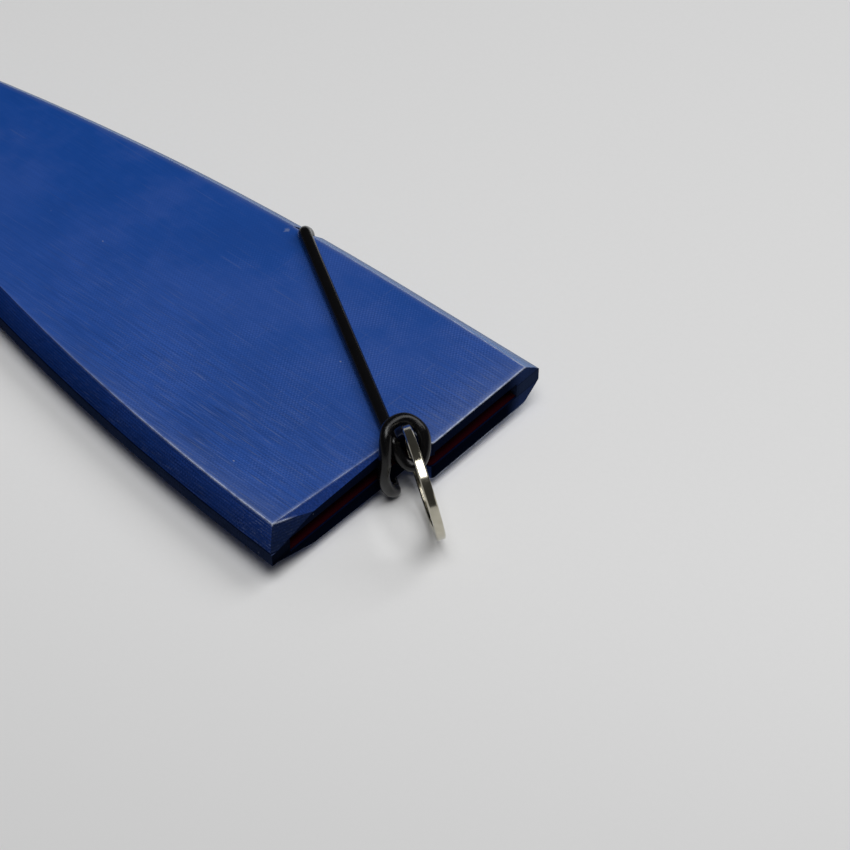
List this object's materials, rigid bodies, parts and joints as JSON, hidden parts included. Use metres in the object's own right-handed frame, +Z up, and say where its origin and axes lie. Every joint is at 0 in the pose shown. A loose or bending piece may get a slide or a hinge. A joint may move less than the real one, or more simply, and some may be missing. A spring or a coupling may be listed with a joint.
{
  "type": "knife blade guard",
  "caption": "Flat blade guard for a chef's knife: blue laminate slabs around a blade slot, closed by an elastic cord with a pull ring.",
  "frame": {"origin": "middle of the blade slot in the plane of the mouth, half way between the straight spine and the heel corner", "axes": "+X out of the mouth, the way the knife is drawn; +Y towards the spine; +Z up, square to the flat faces"},
  "size_m": [0.1903, 0.062, 0.0207],
  "materials": {
    "blue_laminate": "satin blue laminate with a fine weave and sanding marks",
    "blue_core": "the same laminate cut across its layers, darker",
    "red_liner": "thin dark red liner",
    "black_cord": "smooth black rubber, satin",
    "polished_steel": "polished"
  },
  "bodies": {
    "guard": {"top_slab": "blue_laminate", "bottom_slab": "blue_laminate", "spine_spacer": "blue_core", "edge_spacer": "blue_core", "top_liner": "red_liner", "bottom_liner": "red_liner", "cord_wrap": "black_cord", "cord_top_span": "black_cord", "cord_bottom_span": "black_cord"},
    "hitch": {"cord_hitch": "black_cord"},
    "ring": {"pull_ring": "polished_steel"}
  },
  "joints": [
    {"name": "cord_stretch", "type": "slide", "parent": "guard", "child": "hitch", "axis": [0.8595, -0.5111, 0], "range_m": [0, 0.014], "stiffness_N_per_m": 400, "deforming": ["cord_top_span", "cord_bottom_span"]},
    {"name": "ring_swing", "type": "hinge", "parent": "hitch", "child": "ring", "pos_m": [-0.0033, 0, 0.0064], "axis": [-0.1397, 0.2946, -0.9454], "range_deg": [-10, 25]}
  ]
}
